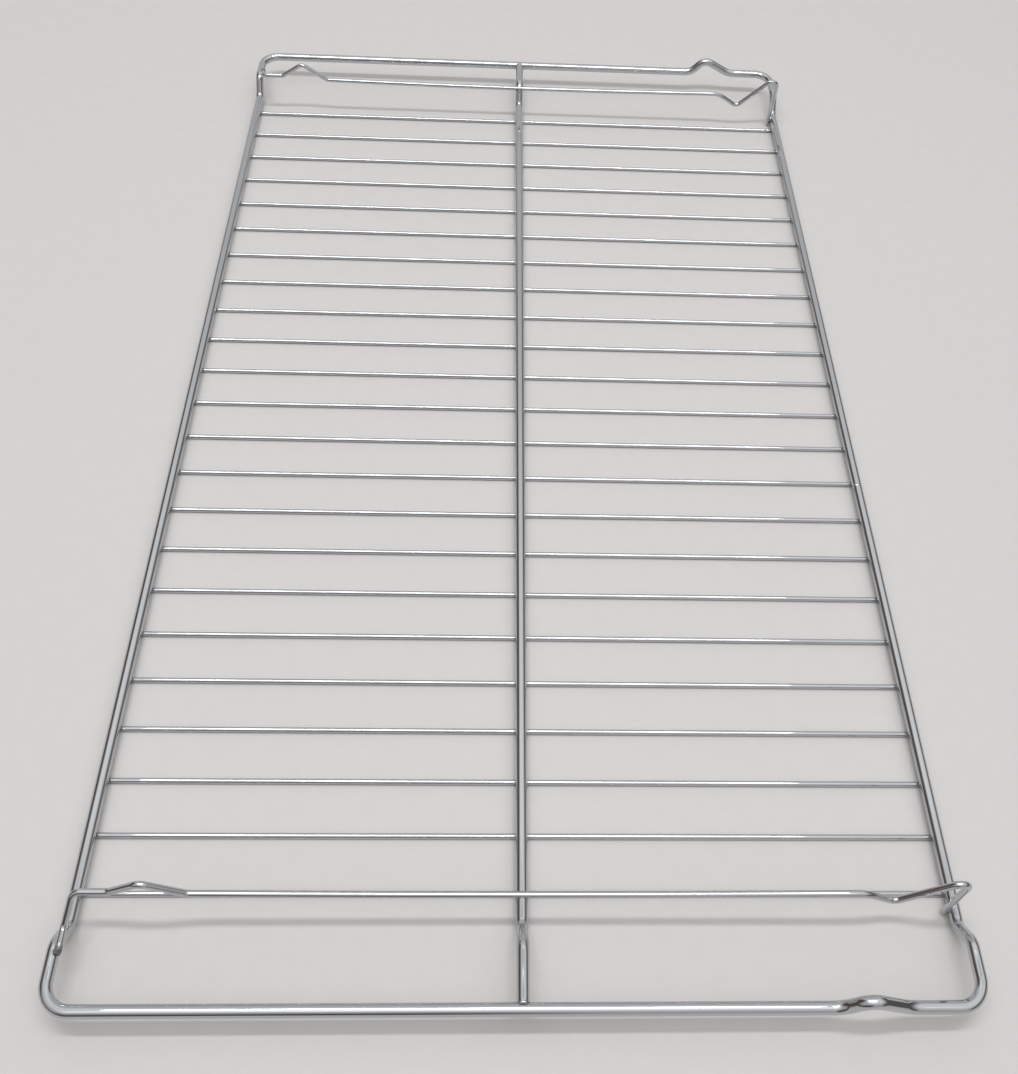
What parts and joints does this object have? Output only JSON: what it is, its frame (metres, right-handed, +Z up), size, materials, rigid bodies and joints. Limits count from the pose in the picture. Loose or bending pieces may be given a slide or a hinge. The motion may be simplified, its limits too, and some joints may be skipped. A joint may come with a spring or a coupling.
{
  "type": "oven shelf rack",
  "caption": "Chromed wire oven shelf: welded grid of thin cross wires under stepped rails and a centre bar, raised end bars with a stop bump, and a bent guard wire at each end.",
  "frame": {"origin": "on the surface that the cross wires lie on, under the middle of the shelf", "axes": "+X across the shelf towards the rail with the stop bumps beside it, +Y along the long rails, +Z up"},
  "size_m": [0.3874, 0.6544, 0.0402],
  "materials": {
    "frame_chrome": "bright chrome plate on drawn steel wire",
    "cross_chrome": "bright chrome plate on drawn steel wire",
    "guard_chrome": "bright chrome plate on drawn steel wire"
  },
  "bodies": {
    "root": {"frame_wire": "frame_chrome", "centre_bar": "frame_chrome", "cross_wire_01": "cross_chrome", "cross_wire_02": "cross_chrome", "cross_wire_03": "cross_chrome", "cross_wire_04": "cross_chrome", "cross_wire_05": "cross_chrome", "cross_wire_06": "cross_chrome", "cross_wire_07": "cross_chrome", "cross_wire_08": "cross_chrome", "cross_wire_09": "cross_chrome", "cross_wire_10": "cross_chrome", "cross_wire_11": "cross_chrome", "cross_wire_12": "cross_chrome", "cross_wire_13": "cross_chrome", "cross_wire_14": "cross_chrome", "cross_wire_15": "cross_chrome", "cross_wire_16": "cross_chrome", "cross_wire_17": "cross_chrome", "cross_wire_18": "cross_chrome", "cross_wire_19": "cross_chrome", "cross_wire_20": "cross_chrome", "cross_wire_21": "cross_chrome", "cross_wire_22": "cross_chrome", "cross_wire_23": "cross_chrome", "guard_wire_near": "guard_chrome", "guard_wire_far": "guard_chrome"}
  },
  "joints": []
}
